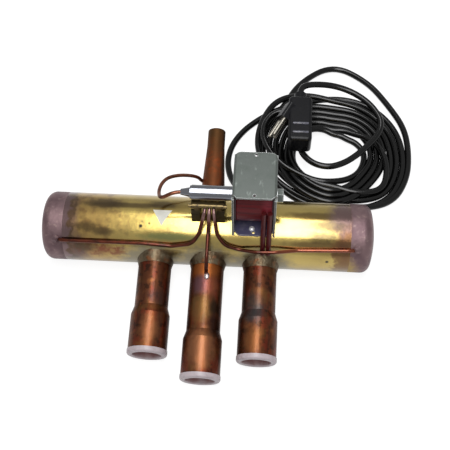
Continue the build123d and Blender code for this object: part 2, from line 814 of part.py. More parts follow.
def make_triangle_label():
    """Thin three-sided sticker on the body, point towards the port tubes."""
    half = label_width / 2
    outline = make_face(
        Polyline(
            (-half, label_height / 2),
            (half, label_height / 2),
            (0, -label_height / 2),
            close=True,
        )
    )
    prism = Pos(label_x, 0, 0) * extrude(outline, body_od)
    skin = rod(body_radius + label_thickness, -body_length / 2, body_length / 2)
    skin -= rod(body_radius + face_gap, -body_length / 2 - 1, body_length / 2 + 1)
    return Rot(-label_lean, 0, 0) * (prism & skin)


# Supply cord (table frame)


def sleeve_ends():
    """Centre line of the cord's sleeve at the back of the winding, in the pilot frame."""
    slant = math.radians(sleeve_slant)
    top = Vector(sleeve_x, winding_radius + 2.4, pilot_offset + 1.0)
    bottom = top + Vector(0, math.sin(slant), -math.cos(slant)) * sleeve_length
    return top, bottom


def make_cord_sleeve():
    top, bottom = sleeve_ends()
    sleeve = Plane(top, z_dir=bottom - top) * from_base(Cylinder(sleeve_od / 2, sleeve_length))
    sleeve = fillet(sleeve.edges().filter_by(GeomType.CIRCLE), 1.0)
    sleeve -= pilot_axis * rod(winding_radius + face_gap, yoke_left, yoke_right)
    return pilot_to_valve * sleeve


def cord_lead_route():
    """From the sleeve down behind the body, round on the table and into the coil."""
    top, bottom = sleeve_ends()
    stand = valve_to_table * pilot_to_valve
    start = (stand * Pos(*bottom)).position
    aim = (start - (stand * Pos(*top)).position).normalized()
    return [start, start + aim * cord_lead_drop, *[Vector(*point) for point in cord_lead_points]]


def cord_tail_route():
    """From the top of the coil round to the plug's collar."""
    x, y = plug_head_centre
    start = Vector(x, y + plug_head_size[1] / 2 + plug_collar_length, coil_height + plug_head_size[2] / 2)
    return [start, *[start + Vector(*step) for step in cord_tail_steps]]


def make_cord(route, name):
    radii = bend_radii(route, math.inf)
    cord = follow(route, Circle(cord_od / 2))
    print(name, "bend radii", [round(radius, 1) for radius in radii])
    path = FilletPolyline(*route, radius=radii)
    section = math.pi * cord_od**2 / 4
    print(name, "volume", round(cord.volume), "section x length", round(section * path.length))
    return cord


def oval(centre, half_size, growth=0.0):
    """Flat oval on the table, in plan."""
    half_x, half_y = half_size
    return Pos(*centre) * Ellipse(half_x + growth, half_y + growth)


def make_cord_coil():
    """The loosely coiled cord as one solid: an open eye, and a gap inside its widest loop."""
    plan = oval(coil_centre, coil_half_size) - oval(coil_eye_centre, coil_eye_half_size)
    gap = oval(coil_centre, coil_half_size, -coil_loop_width) - oval(coil_inner_centre, coil_inner_half_size)
    x, y = coil_gap_corner
    plan -= gap & Pos(x, y) * Rectangle(*coil_half_size, align=(Align.MIN, Align.MIN))
    coil = extrude(plan, coil_height)
    rim = coil.edges().group_by(Axis.Z)[-1].sort_by(SortBy.LENGTH)[-1]
    return fillet(rim, coil_edge_round)


def plug_face_plane():
    """Plane of the plug's pin face, facing the way the pins point."""
    turn = math.radians(plug_face_turn)
    dip = math.radians(plug_face_dip)
    aim = Vector(-math.sin(turn) * math.cos(dip), -math.cos(turn) * math.cos(dip), -math.sin(dip))
    x, y = plug_head_centre
    out, along = plug_face_offset
    centre = (x - out, y + along, coil_height + plug_head_size[2] / 2)
    level = (math.cos(turn), -math.sin(turn), 0)
    return Plane(centre, x_dir=level, z_dir=aim) * Rot(0, 0, plug_face_roll)


def make_plug_body():
    """Moulded plug: a long rounded head, a cable collar and a slanted boss for the pins."""
    x, y = plug_head_centre
    width, length, height = plug_head_size
    head = fillet(Box(width, length, height).edges().filter_by(Axis.Z), plug_head_round)
    head = fillet(head.edges().group_by(Axis.Z)[-1], plug_head_round - 1.0)
    middle_z = coil_height + height / 2
    head = Pos(x, y, middle_z) * head
    collar = Cylinder(plug_collar_od / 2, 2 * plug_collar_length)
    collar = Pos(x, y + length / 2, middle_z) * to_back * collar
    boss = Box(plug_boss_size[0], plug_boss_size[1], plug_boss_size[2])
    boss = fillet(boss.edges().filter_by(Axis.Z), 3.0)
    return head + collar + plug_face_plane() * Pos(0, 0, -plug_boss_size[2] / 2) * boss


def make_plug_pins():
    """Two live pins and an earth pin between them, set a little aside."""
    pin = from_base(Cylinder(plug_pin_od / 2, plug_pin_length))
    pin = fillet(pin.edges().group_by(Axis.Z)[-1], plug_pin_od / 4)
    places = ((-plug_pin_spacing, plug_pin_aside), (0, -plug_pin_aside), (plug_pin_spacing, plug_pin_aside))
    face = plug_face_plane()
    return Compound([face * Pos(along, aside, face_gap) * pin for along, aside in places])


def last_leg(route):
    return route[-2], route[-1]


def first_leg(route):
    return route[1], route[0]


def make_valve_pieces():
    """Every piece of the valve and its solenoid, in the valve frame."""
    routes = capillary_routes()
    pieces = {"main_tube": make_main_tube(), "port_seat": make_port_seat()}
    for name, side in (("left", -1), ("right", 1)):
        pieces[name + "_end_cap"] = make_end_cap(side, routes[name])
    for side in port_xs:
        pieces[side + "_port_tube"] = make_port_tube(side)
        pieces[side + "_dust_plug"] = make_dust_plug(side)
    pieces["middle_port_tube"] -= drilled(last_leg(routes["middle"]))
    pieces["discharge_tube"] = make_discharge_tube(last_leg(routes["discharge"]))
    pieces["braze_fillets"] = make_braze_fillets()
    for name, route in routes.items():
        pieces[name + "_capillary"] = make_capillary(route)
    pieces["triangle_label"] = make_triangle_label()
    pieces["slide_block"] = make_slide_block()
    pieces["slide_carrier"] = make_slide_carrier()
    pieces["left_piston"] = make_piston(-1)
    pieces["right_piston"] = make_piston(1)
    pieces["piston_seals"] = make_piston_seals()
    pieces["seal_retainers"] = make_seal_retainers()
    pieces["piston_screws"] = make_piston_screws()
    pieces["pilot_tube"] = make_pilot_tube()
    pieces["pilot_seat"] = make_pilot_seat([first_leg(routes[side]) for side in ("left", "middle", "right")])
    pieces["pilot_end_stub"] = make_pilot_end_stub()
    pieces["fixed_core"] = make_fixed_core()
    pieces["plunger"] = make_plunger()
    pieces["plunger_spring"] = make_plunger_spring()
    pieces["pilot_spindle"] = make_pilot_spindle()
    pieces["pilot_slide"] = make_pilot_slide()
    pieces["pilot_bracket"] = make_pilot_bracket()
    pieces["coil_yoke"] = make_coil_yoke()
    pieces["yoke_base_plate"] = make_yoke_base_plate()
    pieces["coil_bobbin"] = make_coil_bobbin()
    pieces["coil_winding"] = make_coil_winding()
    pieces["coil_screw"] = make_coil_screw()
    pieces["screw_washer"] = make_screw_washer()
    pieces["coil_leads"] = make_coil_leads()
    pieces["cord_sleeve"] = make_cord_sleeve()
    return pieces


def make_cord_pieces():
    """The free cord and its plug, in the table frame."""
    return {
        "cord_lead": make_cord(cord_lead_route(), "cord_lead"),
        "cord_coil": make_cord_coil(),
        "cord_tail": make_cord(cord_tail_route(), "cord_tail"),
        "plug_body": make_plug_body(),
        "plug_pins": make_plug_pins(),
    }


def main():
    os.makedirs("parts", exist_ok=True)
    valve = {name: valve_to_table * piece for name, piece in make_valve_pieces().items()}
    box = Compound(list(valve.values())).bounding_box()
    centre = Pos(-(box.min.X + box.max.X) / 2, -(box.min.Y + box.max.Y) / 2, -box.min.Z)
    print("valve box", box.size, "moved by", centre.position)
    for name, piece in {**valve, **make_cord_pieces()}.items():
        export_step(centre * piece, f"parts/{name}.step")


main()
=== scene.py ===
import bpy
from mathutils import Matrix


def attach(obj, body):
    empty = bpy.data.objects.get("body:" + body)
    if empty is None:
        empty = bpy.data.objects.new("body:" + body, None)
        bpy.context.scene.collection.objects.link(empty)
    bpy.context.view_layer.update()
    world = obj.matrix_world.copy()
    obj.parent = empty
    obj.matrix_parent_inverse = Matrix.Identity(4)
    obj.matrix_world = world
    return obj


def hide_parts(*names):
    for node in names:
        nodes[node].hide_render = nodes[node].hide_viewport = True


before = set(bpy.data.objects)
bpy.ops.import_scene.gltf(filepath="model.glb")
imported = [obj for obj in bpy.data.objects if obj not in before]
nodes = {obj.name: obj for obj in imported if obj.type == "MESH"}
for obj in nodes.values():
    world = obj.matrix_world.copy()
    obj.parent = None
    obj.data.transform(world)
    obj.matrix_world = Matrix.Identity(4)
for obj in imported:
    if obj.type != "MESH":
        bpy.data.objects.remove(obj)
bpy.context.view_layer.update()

import bpy
import math

# Camera and studio: one camera looking down from over the port tubes, one wide soft lamp overhead
# and a plain pale table. Table and air look white to the camera, and throw little light themselves.
camera_place = (0.04756, -0.31000, 0.66119)
camera_turns = (27.978, 1.148, 3.446)
view_angle = 31.21
camera = bpy.data.objects.new("camera", bpy.data.cameras.new("camera"))
bpy.context.scene.collection.objects.link(camera)
bpy.context.scene.camera = camera
camera.location = camera_place
camera.rotation_euler = [math.radians(turn) for turn in camera_turns]
camera.data.angle = math.radians(view_angle)
camera.data.clip_start = 0.02
bpy.context.scene.view_settings.view_transform = "Standard"

lamp_size = (0.34, 1.10)
lamp_place = (0.03, -0.05, 0.95)
lamp_radiance = 7.0
lamp = bpy.data.objects.new("overhead_lamp", bpy.data.lights.new("overhead_lamp", "AREA"))
bpy.context.scene.collection.objects.link(lamp)
lamp.location = lamp_place
lamp.data.shape = "RECTANGLE"
lamp.data.size, lamp.data.size_y = lamp_size
lamp.data.energy = lamp_radiance * math.pi * lamp_size[0] * lamp_size[1]

room_light = 0.3
mirrored_light = 0.3


def seen_as_white(tree):
    """1 for the camera's and clear rays, less for mirrored ones, 0 for light that falls."""
    path = tree.nodes.new("ShaderNodeLightPath")
    seen = tree.nodes.new("ShaderNodeMath")
    seen.operation = "MULTIPLY"
    seen.inputs[1].default_value = mirrored_light
    tree.links.new(path.outputs["Is Glossy Ray"], seen.inputs[0])
    for ray in ("Is Camera Ray", "Is Transmission Ray"):
        either = tree.nodes.new("ShaderNodeMath")
        either.operation = "MAXIMUM"
        tree.links.new(seen.outputs[0], either.inputs[0])
        tree.links.new(path.outputs[ray], either.inputs[1])
        seen = either
    return seen.outputs[0]


world = bpy.data.worlds.new("studio")
bpy.context.scene.world = world
world.use_nodes = True
air = world.node_tree
sky = air.nodes["Background"]
sky.inputs["Color"].default_value = (1, 1, 1, 1)
level = air.nodes.new("ShaderNodeMapRange")
level.inputs["To Min"].default_value = room_light
level.inputs["To Max"].default_value = 1.0
air.links.new(seen_as_white(air), level.inputs["Value"])
air.links.new(level.outputs["Result"], sky.inputs["Strength"])

table_width = 12
table_top = -0.0004
lit_grey, seen_grey, seen_glow = 0.82, 0.28, 0.86
bpy.ops.mesh.primitive_plane_add(size=table_width, location=(0, 0, table_top))
table = bpy.context.active_object
table.name = "table"
table_finish = bpy.data.materials.new("pale_table")
table_finish.use_nodes = True
table_tree = table_finish.node_tree
table_tree.nodes.clear()
lit_top = table_tree.nodes.new("ShaderNodeBsdfDiffuse")
lit_top.inputs["Color"].default_value = (lit_grey, lit_grey, lit_grey, 1)
seen_top = table_tree.nodes.new("ShaderNodeBsdfDiffuse")
seen_top.inputs["Color"].default_value = (seen_grey, seen_grey, seen_grey, 1)
glow = table_tree.nodes.new("ShaderNodeEmission")
glow.inputs["Strength"].default_value = seen_glow
bright = table_tree.nodes.new("ShaderNodeAddShader")
choice = table_tree.nodes.new("ShaderNodeMixShader")
out = table_tree.nodes.new("ShaderNodeOutputMaterial")
table_tree.links.new(glow.outputs[0], bright.inputs[0])
table_tree.links.new(seen_top.outputs[0], bright.inputs[1])
table_tree.links.new(seen_as_white(table_tree), choice.inputs["Fac"])
table_tree.links.new(lit_top.outputs[0], choice.inputs[1])
table_tree.links.new(bright.outputs[0], choice.inputs[2])
table_tree.links.new(choice.outputs[0], out.inputs["Surface"])
table.data.materials.append(table_finish)

# Body: one brass tube, drawn bright, that every other piece is brazed on. The torch has left stains
# round the ports, brown tarnish at the left end, specks along the top and rust low down. The dark
# streaks along the top and at the right front are painted reflections.
mm = 0.001


def linear(*screen):
    """Screen colour, 0 to 255, as the shader's own numbers."""
    dark = 10  # below it the screen's curve is a straight line
    return (*[((c / 255 + 0.055) / 1.055) ** 2.4 if c > dark else c / 3295 for c in screen], 1)


class Finish:
    """One surface finish: a Principled shader and the patterns that feed it.

    Patterns are read in the piece's own space. Sizes and places are in millimetres.
    """

    def __init__(self, name, colour, metallic=0.0, roughness=0.5, coat=0.0):
        self.material = bpy.data.materials.new(name)
        self.material.use_nodes = True
        self.tree = self.material.node_tree
        self.shader = self.tree.nodes["Principled BSDF"]
        self.colour = linear(*colour)
        self.shader.inputs["Base Color"].default_value = self.colour
        self.shader.inputs["Metallic"].default_value = metallic
        self.shader.inputs["Roughness"].default_value = roughness
        self.shader.inputs["Coat Weight"].default_value = coat
        self.shader.inputs["Coat Roughness"].default_value = 0.12
        self.place = self.tree.nodes.new("ShaderNodeTexCoord").outputs["Object"]
        self.height = None

    def node(self, kind, values=(), **links):
        """A pattern node with its values set and its inputs wired."""
        made = self.tree.nodes.new("ShaderNode" + kind)
        for name, value in dict(values).items():
            made.inputs[name].default_value = value
        for name, source in links.items():
            self.tree.links.new(source, made.inputs[name])
        return made

    def maths(self, how, *terms):
        """Sum, product or other mix of masks and plain numbers."""
        made = self.tree.nodes.new("ShaderNodeMath")
        made.operation = how
        for socket, term in zip(made.inputs, terms):
            if isinstance(term, (int, float)):
                socket.default_value = term
            else:
                self.tree.links.new(term, socket)
        return made.outputs[0]

    def noise(self, size, stretch=(1, 1, 1)):
        """Noise with features of about that size, longer along the stretched axes."""
        scale = [1 / (size * mm * longer) for longer in stretch]
        scaled = self.node("Mapping", {"Scale": scale}, Vector=self.place)
        grain = {"Scale": 1.0, "Detail": 3.0, "Roughness": 0.55}
        return self.node("TexNoise", grain, Vector=scaled.outputs[0]).outputs["Fac"]

    def step(self, value, low, high):
        """0 below low, 1 above high, smooth between; low above high turns it round."""
        made = self.node("MapRange", {"From Min": low, "From Max": high}, Value=value)
        made.interpolation_type = "SMOOTHSTEP"
        return made.outputs["Result"]

    def past(self, axis, start, full):
        """Mask that rises from 0 at one place along an axis to 1 at the other."""
        along = self.node("SeparateXYZ", Vector=self.place).outputs[axis]
        return self.step(along, start * mm, full * mm)

    def patches(self, size, low, high, stretch=(1, 1, 1)):
        """Mask of soft patches, where the noise runs from low to high."""
        return self.step(self.noise(size, stretch), low, high)

    def spot(self, centre, reach, ragged=0.35, grain=6.0, fade=(1.3, 0.45)):
        """Mask of one spot with a ragged edge, that reaches so far along each axis."""
        middle = [-place / far for place, far in zip(centre, reach)]
        scale = [1 / (far * mm) for far in reach]
        moved = self.node("Mapping", {"Location": middle, "Scale": scale}, Vector=self.place)
        distance = self.tree.nodes.new("ShaderNodeVectorMath")
        distance.operation = "LENGTH"
        self.tree.links.new(moved.outputs[0], distance.inputs[0])
        torn = self.maths("MULTIPLY_ADD", self.noise(grain), 2 * ragged, -ragged)
        return self.step(self.maths("ADD", distance.outputs["Value"], torn), *fade)

    def tint(self, mask, colour, strength):
        """Lay another colour over the ones so far where the mask is 1."""
        mix = self.tree.nodes.new("ShaderNodeMix")
        mix.data_type = "RGBA"
        self.tree.links.new(self.maths("MULTIPLY", mask, strength), mix.inputs["Factor"])
        if isinstance(self.colour, tuple):
            mix.inputs["A"].default_value = self.colour
        else:
            self.tree.links.new(self.colour, mix.inputs["A"])
        mix.inputs["B"].default_value = linear(*colour)
        self.colour = mix.outputs["Result"]
        self.tree.links.new(self.colour, self.shader.inputs["Base Color"])

    def vary_roughness(self, mask, low, high):
        """Let the roughness run between two numbers with a mask."""
        made = self.node("MapRange", {"To Min": low, "To Max": high}, Value=mask)
        self.tree.links.new(made.outputs["Result"], self.shader.inputs["Roughness"])

    def bump(self, height, depth):
        """Raise the surface by that depth where the height is 1."""
        made = self.node("Bump", {"Distance": depth * mm, "Strength": 1.0}, Height=height)
        if self.height is not None:
            self.tree.links.new(self.height, made.inputs["Normal"])
        self.height = made.outputs["Normal"]
        self.tree.links.new(self.height, self.shader.inputs["Normal"])

    def on(self, *pieces):
        """Give the finish to CAD nodes by name, or to new pieces."""
        for piece in pieces:
            data = (nodes[piece] if isinstance(piece, str) else piece).data
            data.materials.clear()
            data.materials.append(self.material)


bright_brass, dull_brass, warm_brass = (192, 168, 94), (138, 114, 56), (168, 130, 72)
brown_tarnish, rust_brown, speck_brown = (118, 84, 46), (115, 53, 24), (70, 52, 22)
cap_bloom, pit_black = (122, 98, 98), (31, 24, 14)
front_patina, back_patina = (125, 118, 98), (120, 110, 89)
brass = Finish("polished_brass", bright_brass, metallic=1.0, roughness=0.2, coat=0.7)
brass.tint(brass.patches(26, 0.38, 0.78, stretch=(2, 1, 1)), dull_brass, 0.7)
brass.tint(brass.past("X", -62, -98), warm_brass, 0.6)
left_end = brass.past("X", -50, -85)
brass.tint(brass.maths("MULTIPLY", left_end, brass.patches(9, 0.4, 0.72)), brown_tarnish, 0.75)
body_stains_and_reflections = [
    ((-68, 24, 59.2), (40, 3.4, 3), (86, 67, 29), 0.8),  # painted reflection: dark streak on top, at the left
    ((-20, 25, 58.8), (30, 3.0, 3), (144, 120, 54), 0.5),  # paler streak behind the pilot
    ((96, 20.5, 59.6), (34, 4.2, 3), (96, 72, 29), 0.75),  # painted reflection: dark streak on top, at the right
    ((-30, -2.2, 53.6), (26, 3.4, 3.6), (125, 134, 79), 0.75),  # greenish streak at the front
    ((95, -3.5, 52.5), (30, 3.2, 3.4), (108, 79, 41), 0.7),  # painted shadow and reflection of the right capillary: brown streak at the right
    ((113, -4, 50), (7, 8, 9), (125, 82, 43), 0.7),  # the same painted shadow and reflection where that streak meets the cap
    ((-92, -10.5, 42), (30, 6, 7), (125, 79, 41), 0.6),  # under the left capillary
    ((-113, -8, 37), (15, 14, 17), (89, 65, 62), 0.9),  # scorch beside the left cap
    ((-117, 10, 52), (8, 26, 26), (125, 96, 79), 0.8),  # pinkish ring beside the left cap
    ((119, 10, 45), (6, 30, 30), (134, 98, 70), 0.85),  # brown ring beside the right cap
]
for centre, reach, colour, strength in body_stains_and_reflections:
    brass.tint(brass.spot(centre, reach), colour, strength)
rusted = brass.spot((-90, -11, 41), (30, 8, 8))
brass.tint(brass.maths("MULTIPLY", rusted, brass.patches(4.5, 0.46, 0.66)), rust_brown, 0.8)
along_body = brass.node("SeparateXYZ", Vector=brass.place).outputs["X"]
flame_wander = brass.maths("MULTIPLY", brass.noise(8), 20 * mm)
flame_line = brass.maths("ADD", along_body, flame_wander)
flame_marks = [
    (-101.5, -105.5, (74, 52, 30), 0.7),  # scorched edge
    (-106, -109.5, (116, 92, 94), 0.9),  # purple skin, as on the cap
    (118, 123, (104, 66, 34), 0.8),  # brown edge at the right
]
for start, full, colour, strength in flame_marks:
    brass.tint(brass.step(flame_line, start * mm, full * mm), colour, strength)
brass.tint(brass.spot((116, 22, 58), (13, 17, 12), grain=5), cap_bloom, 0.85)
dark_specks = [
    (-38, 26, 58, 7), (-88, 25, 58, 9), (-101, 3, 56, 6), (-88, 0, 54, 5), (99, 2, 55, 7),
    (106, 12, 58, 8), (-104, -9, 42, 6),
]
for x, y, z, size in dark_specks:
    speck = brass.spot((x, y, z), (2 * size, 0.7 * size, size), grain=4)
    brass.tint(speck, speck_brown, 0.75)
port_roots = [(-46, -13.4, 27), (1, -13.4, 27), (48, -13.4, 27)]
patina_reach = (29.7, 17, 27)
for port_root in port_roots:
    heated = brass.spot(port_root, patina_reach, ragged=0.3, fade=(1.15, 0.6))
    brass.tint(heated, front_patina, 0.9)
brass.tint(brass.spot((2, 46, 28), (17, 9, 17)), back_patina, 0.8)
pits = [
    (-55.5, 4.9, 57.6, 1.7), (-54.2, 8.8, 59, 0.7), (-48.4, 7.4, 58.4, 0.8), (104, -12, 39, 1.5),
]
for x, y, z, size in pits:
    brass.tint(brass.spot((x, y, z), (size, size, size), ragged=0.2, grain=1.0), pit_black, 0.95)
brass.vary_roughness(brass.noise(10, stretch=(3, 1, 1)), 0.12, 0.34)
brass.bump(brass.noise(16), 0.25)
brass.bump(brass.noise(0.6, stretch=(8, 1, 1)), 0.006)
brass.on("main_tube")

# Slide assembly: a nylon slide that runs on a brass seat brazed in the body. A carrier of sheet
# steel ties it to the two pistons, whose seals are held by screwed retainers.
seat_brass = Finish("seat_brass", (200, 170, 96), metallic=1.0, roughness=0.3)
seat_brass.bump(seat_brass.noise(1, stretch=(8, 1, 1)), 0.02)
seat_brass.on("port_seat")
slide_nylon = Finish("slide_nylon", (222, 216, 200), roughness=0.5)
slide_nylon.bump(slide_nylon.noise(2), 0.05)
slide_nylon.on("slide_block", "pilot_slide")
carrier_steel = Finish("carrier_steel", (168, 168, 170), metallic=1.0, roughness=0.35)
carrier_steel.bump(carrier_steel.noise(1.5), 0.04)
carrier_steel.on("slide_carrier", "left_piston", "right_piston", "seal_retainers", "piston_screws")
seal_ptfe = Finish("seal_ptfe", (226, 226, 220), roughness=0.4)
seal_ptfe.bump(seal_ptfe.noise(3), 0.05)
seal_ptfe.on("piston_seals")

# End caps: two deep-drawn brass cups, brazed in the ends of the body once the slide is in. The
# flame has turned them a dull purple brown, with some brass left bare at the right.
cap_purple, cap_dark, cap_pale = (130, 106, 108), (101, 79, 84), (168, 146, 139)
cap_scorch, cap_bare, cap_brown = (70, 53, 55), (176, 150, 84), (92, 62, 44)
cap_metal = Finish("cap_metal", cap_purple, metallic=0.75, roughness=0.45)
cap_metal.tint(cap_metal.patches(14, 0.4, 0.7), cap_dark, 0.8)
cap_metal.tint(cap_metal.patches(5, 0.55, 0.75), cap_pale, 0.5)
cap_metal.tint(cap_metal.spot((-116, -6, 36), (13, 16, 18)), cap_scorch, 0.7)
cap_metal.tint(cap_metal.spot((119, -11, 26), (13, 10, 18), grain=4), cap_bare, 0.8)
cap_metal.tint(cap_metal.spot((119, 16, 60), (5, 20, 9), grain=4), cap_brown, 0.7)
cap_metal.bump(cap_metal.noise(2.2), 0.16)
cap_metal.on("left_end_cap", "right_end_cap")

# Port tubes: three thick copper tubes, belled at the free end to take the pipes and brazed in the
# body. They are annealed brown, streaked lengthwise, with the flame's colours near the roots.
tube_brown, streak_brown, streak_red = (94, 53, 32), (67, 32, 19), (128, 44, 26)
blotch_black, blotch_gold, blotch_copper = (38, 22, 14), (126, 88, 46), (134, 82, 46)
port_copper = Finish("port_copper", tube_brown, metallic=0.92, roughness=0.3, coat=0.12)
port_copper.tint(port_copper.patches(5, 0.45, 0.65, stretch=(1, 5, 1)), streak_brown, 0.8)
port_copper.tint(port_copper.patches(8, 0.5, 0.62, stretch=(1, 3, 1)), streak_red, 0.45)
port_copper.tint(port_copper.patches(6.5, 0.52, 0.64), blotch_black, 0.65)
port_copper.tint(port_copper.patches(17, 0.5, 0.7), blotch_gold, 0.45)
port_copper.tint(port_copper.patches(11, 0.55, 0.75), blotch_copper, 0.7)
tube_stains_and_reflections = [
    ((2, -24, 38), (15, 9, 12), (158, 89, 41), 0.9),  # middle tube: bright by its root
    ((-2, -38, 37), (9, 9, 9), (110, 74, 79), 0.85),  # purple, then pink beside it
    ((8, -38, 37), (9, 9, 9), (146, 79, 55), 0.6),
    ((-2, -58, 36), (12, 13, 9), (132, 98, 54), 0.6),  # golden
    ((11, -56, 34), (5, 7, 9), (46, 31, 17), 0.9),  # painted dark reflections: two black marks down the right
    ((12, -72, 33), (6, 9, 10), (48, 24, 17), 0.85),
    ((0, -92, 33), (14, 18, 9), (149, 98, 65), 0.75),  # bare on the socket
    ((41, -56, 36), (13, 14, 9), (70, 66, 62), 0.6),  # right tube: grey, then blue grey
    ((44, -62, 36), (8, 7, 8), (52, 60, 66), 0.5),
    ((44, -84, 34), (8, 12, 9), (134, 84, 46), 0.7),  # bare on its socket
    ((-42, -78, 34), (8, 14, 9), (144, 91, 58), 0.6),  # left tube: bare on its socket
    ((-38, -50, 36), (9, 8, 9), (72, 48, 41), 0.7),  # brown above it
]
for centre, reach, colour, strength in tube_stains_and_reflections:
    port_copper.tint(port_copper.spot(centre, reach), colour, strength)
port_copper.vary_roughness(port_copper.noise(6, stretch=(1, 4, 1)), 0.3, 0.56)
port_copper.bump(port_copper.noise(13, stretch=(1, 2, 1)), 0.55)
port_copper.bump(port_copper.noise(4, stretch=(1, 2, 1)), 0.08)
port_copper.bump(port_copper.noise(0.7, stretch=(1, 8, 1)), 0.01)
port_copper.on("left_port_tube", "middle_port_tube", "right_port_tube")

# Discharge tube: one copper tube, tapered by swaging and brazed in the back of the body. It is
# dull brown, darker towards its open end, with a painted dark reflection down its right side.
dull_copper, red_copper = (104, 60, 33), (134, 65, 29)
end_brown, side_painted_reflection = (79, 54, 26), (36, 19, 10)
discharge_copper = Finish("discharge_copper", dull_copper, metallic=0.85, roughness=0.58)
discharge_copper.tint(discharge_copper.patches(8, 0.45, 0.65), red_copper, 0.7)
discharge_copper.tint(discharge_copper.past("Y", 75, 115), end_brown, 0.9)
# Painted dark reflection: darker down the tube's right flank.
discharge_copper.tint(discharge_copper.past("X", 7, 10.5), side_painted_reflection, 0.8)
discharge_copper.bump(discharge_copper.noise(7), 0.2)
discharge_copper.on("discharge_tube")

# Braze collars: brazing alloy run by hand into a rough fillet round each tube's root, grey brown
# with burnt flux and a little copper red.
alloy_grey, burnt_flux, collar_red = (108, 96, 76), (79, 62, 43), (134, 77, 41)
braze_filler = Finish("braze_filler", alloy_grey, metallic=0.85, roughness=0.38)
braze_filler.tint(braze_filler.patches(5, 0.42, 0.66), burnt_flux, 0.9)
braze_filler.tint(braze_filler.patches(9, 0.5, 0.72), collar_red, 0.8)
braze_filler.bump(braze_filler.noise(2.5), 0.5)
braze_filler.on("braze_fillets")

# Pilot valve: a thin stainless tube with turned ends, which holds the core, plunger, spindle and
# spring. It is brazed on a stamped steel bracket, and that on the body, over the pilot's seat.
tube_bright, pilot_painted_shade = (128, 130, 136), (84, 82, 91)
tube_back, tube_smear = (125, 120, 96), (115, 113, 110)
stainless = Finish("stainless", tube_bright, metallic=1.0, roughness=0.16, coat=0.2)
# Painted shade: the pilot tube is darker below its middle, on the side that faces down.
stainless.tint(stainless.past("Z", 84.5, 82.2), pilot_painted_shade, 0.85)
stainless.tint(stainless.past("Y", 26.8, 29.2), tube_back, 0.8)
stainless.tint(stainless.patches(6, 0.55, 0.8), tube_smear, 0.6)
stainless.vary_roughness(stainless.noise(0.7, stretch=(12, 1, 1)), 0.08, 0.24)
stainless.on("pilot_tube", "pilot_end_stub")
stainless.on("fixed_core", "plunger", "pilot_spindle", "plunger_spring")

bracket_top, bracket_painted_shade, bracket_scorch = (116, 100, 68), (77, 72, 58), (53, 48, 43)
bracket_steel = Finish("bracket_steel", bracket_top, metallic=0.9, roughness=0.36)
# Painted shade: the bracket darkens towards its foot, under the pilot tube.
bracket_steel.tint(bracket_steel.past("Z", 77.5, 73.5), bracket_painted_shade, 0.85)
bracket_steel.tint(bracket_steel.patches(4, 0.5, 0.65), bracket_scorch, 0.8)
bracket_steel.bump(bracket_steel.noise(2), 0.12)
bracket_steel.on("pilot_bracket", "pilot_seat")

# Capillaries: three thin copper tubes, drawn, bent by hand and brazed between the pilot's seat, the
# two caps and the middle tube. Dark from the flame, painted lighter at the right, out of the
# coil's shade, and brighter by the seat.
capillary_brown, capillary_dark = (92, 42, 26), (54, 26, 18)
capillary_painted_light, capillary_tinned = (138, 76, 52), (214, 178, 176)
capillary_copper = Finish(
    "capillary_copper", capillary_brown, metallic=0.95, roughness=0.28, coat=0.3)
capillary_copper.tint(capillary_copper.patches(7, 0.44, 0.66), capillary_dark, 0.8)
# Painted light: the right capillary is lighter towards the right, where the coil's shade ends.
capillary_copper.tint(capillary_copper.past("X", 48, 72), capillary_painted_light, 0.6)
capillary_copper.tint(capillary_copper.spot((3.4, 12, 72), (9, 7, 7)), capillary_tinned, 0.7)
capillary_copper.bump(capillary_copper.noise(1.5), 0.03)
capillary_copper.on("left_capillary", "right_capillary", "middle_capillary")

# Solder bead: a small lump of silver solder, run by hand where the middle capillary goes into its
# tube. It holds the capillary and seals the hole.
bead_radius = 2.4 * mm
bead_squeeze = (1.0, 1.35, 0.62)
bead_lumps = 0.12 * mm
bead_place = (2.7, -30.4, 39.9)


def start_piece(add, **sizes):
    """Begin a new piece from a primitive, all of it chosen in edit mode."""
    bpy.ops.object.select_all(action="DESELECT")
    add(location=(0, 0, 0), **sizes)
    bpy.ops.object.mode_set(mode="EDIT")
    bpy.ops.mesh.select_all(action="SELECT")


def stretch(*factors):
    """Stretch what is chosen along x, y and z."""
    bpy.ops.transform.resize(value=factors, center_override=(0, 0, 0))


def place_at(x, y, z):
    """Move what is chosen to its place, in millimetres."""
    bpy.ops.transform.translate(value=(x * mm, y * mm, z * mm))


def end_piece(name, finish):
    """Leave edit mode with the faces turned outwards, and give name, finish, slot and body."""
    bpy.ops.mesh.select_all(action="SELECT")
    bpy.ops.mesh.normals_make_consistent(inside=False)
    bpy.ops.object.mode_set(mode="OBJECT")
    bpy.ops.object.shade_smooth_by_angle(angle=math.radians(40))
    piece = bpy.context.active_object
    piece.name = piece.data.name = name
    finish.on(piece)
    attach(piece, "valve_body")


solder_bright, solder_dull = (206, 190, 188), (128, 104, 104)
silver_solder = Finish("silver_solder", solder_bright, metallic=0.9, roughness=0.3)
silver_solder.tint(silver_solder.patches(1.6, 0.45, 0.65), solder_dull, 0.8)
silver_solder.bump(silver_solder.noise(1.2), 0.15)
start_piece(bpy.ops.mesh.primitive_ico_sphere_add, subdivisions=4, radius=bead_radius)
stretch(*bead_squeeze)
bpy.ops.transform.vertex_random(offset=bead_lumps, seed=4)
bpy.ops.mesh.vertices_smooth(factor=0.5, repeat=2)
place_at(*bead_place)
end_piece("middle_solder_bead", silver_solder)

